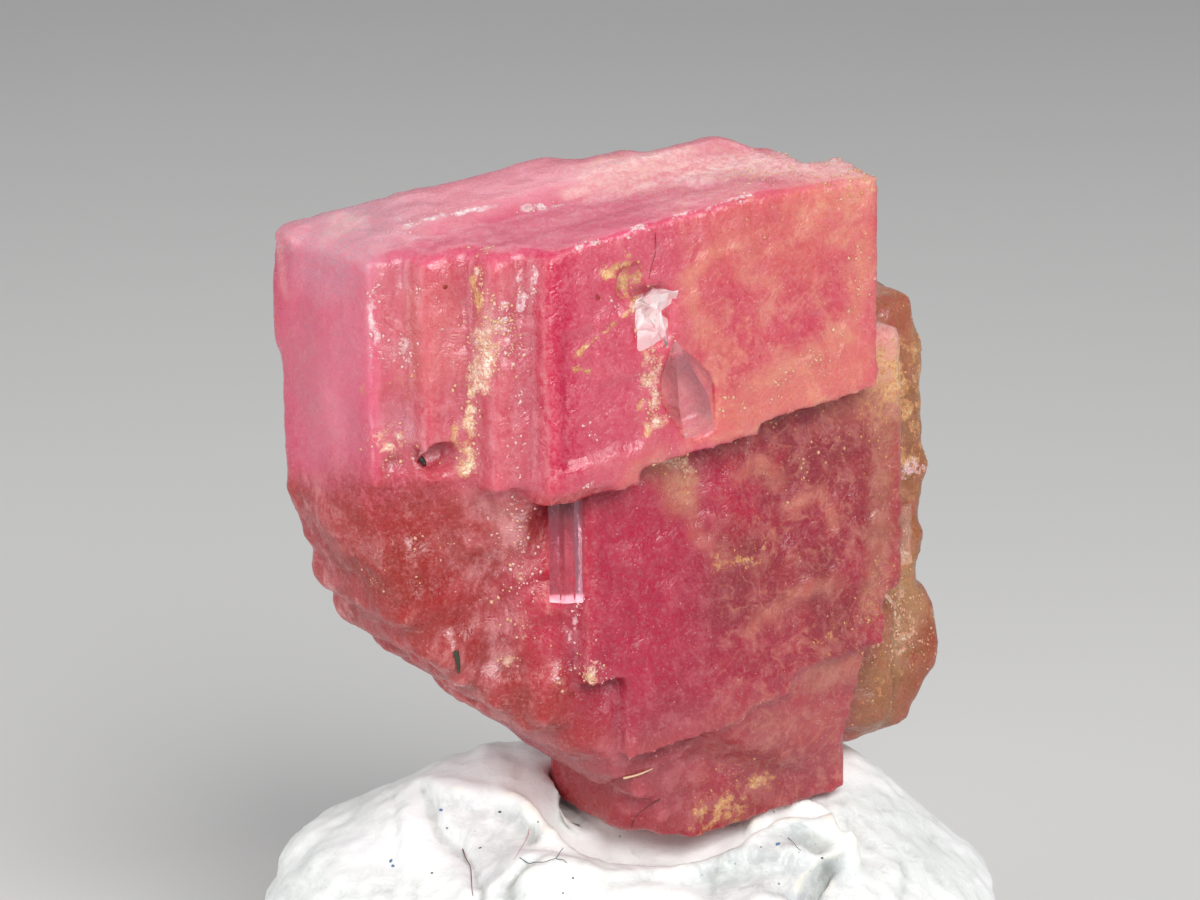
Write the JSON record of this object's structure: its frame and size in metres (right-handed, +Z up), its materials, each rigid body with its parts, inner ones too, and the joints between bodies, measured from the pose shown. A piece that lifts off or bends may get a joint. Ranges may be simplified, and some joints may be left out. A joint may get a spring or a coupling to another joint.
{
  "type": "rhodochrosite specimen",
  "caption": "Small rose-pink rhodochrosite crystal with stepped faces and clear quartz in its hollows, standing in a lump of white mounting putty.",
  "frame": {"origin": "centre of the putty's flat underside", "axes": "+Z up, stepped front of the crystal towards -Y, +X to the right seen from the front"},
  "size_m": [0.0151, 0.0132, 0.018],
  "materials": {
    "rose_rhodochrosite": "glassy, slightly translucent",
    "clear_quartz": "clear",
    "white_putty": "matte, smudged"
  },
  "bodies": {
    "root": {"rhodochrosite_crystal": "rose_rhodochrosite", "quartz_point": "clear_quartz", "quartz_grain": "clear_quartz", "quartz_prism": "clear_quartz", "quartz_block": "clear_quartz", "mounting_putty": "white_putty"}
  },
  "joints": []
}
